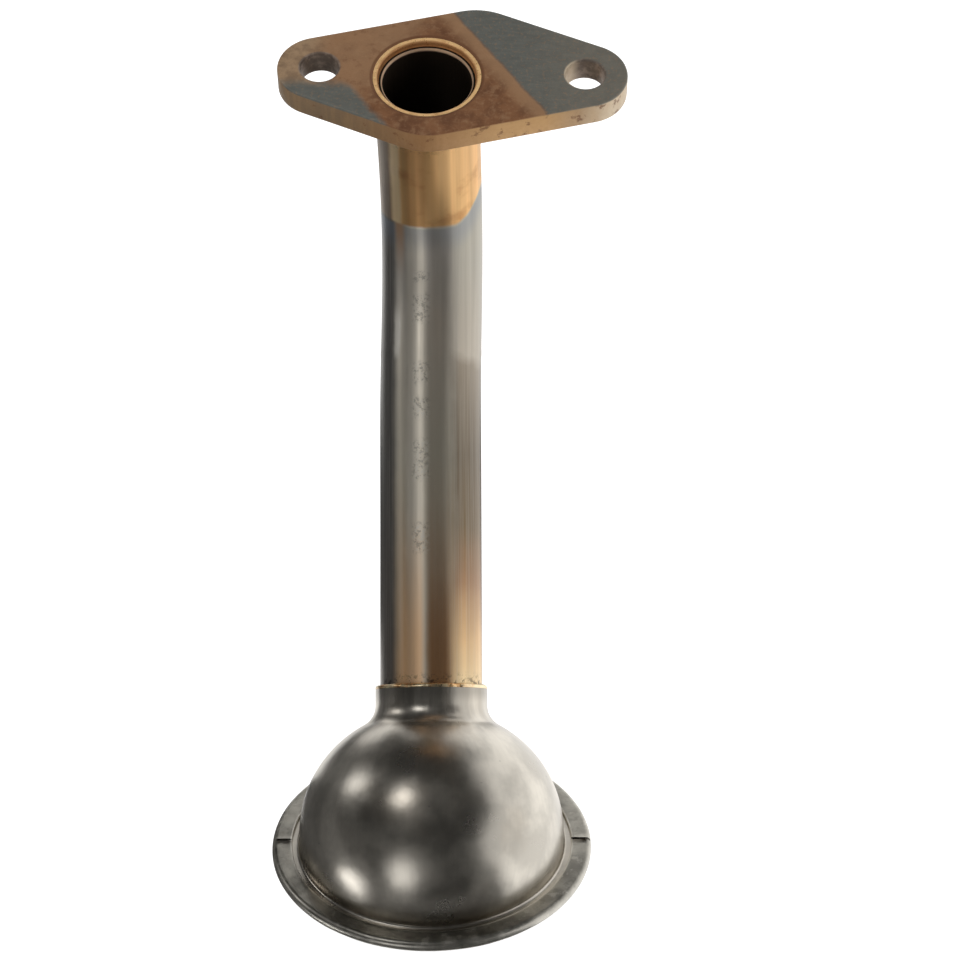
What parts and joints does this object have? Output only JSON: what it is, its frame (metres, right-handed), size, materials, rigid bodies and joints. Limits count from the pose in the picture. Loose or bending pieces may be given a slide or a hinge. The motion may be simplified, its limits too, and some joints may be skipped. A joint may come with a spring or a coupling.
{
  "type": "oil pickup tube",
  "caption": "Bent steel suction tube brazed to a two-bolt flange at one end and to a domed, screened inlet bell at the other.",
  "frame": {"origin": "centre of the tube's bore in the plane of the flange's gasket face", "axes": "+Z out of the gasket face, +X along the bolt line toward the farther bolt, the tube and bell reach toward -Y and down"},
  "size_m": [0.0631, 0.1473, 0.1095],
  "materials": {
    "plate": "ground plate, heat tinted brown with grey ends",
    "tube": "drawn tube, grey in the middle and straw to copper at both brazed ends",
    "shell": "satin dark grey pressed sheet",
    "screen": "plain wire grey",
    "braze": "dull copper braze"
  },
  "bodies": {
    "root": {"flange_plate": "plate", "pickup_tube": "tube", "inlet_bell": "shell", "screen_retainer": "shell", "inlet_screen": "screen", "flange_face_braze": "braze", "flange_back_braze": "braze", "neck_braze": "braze"}
  },
  "joints": []
}
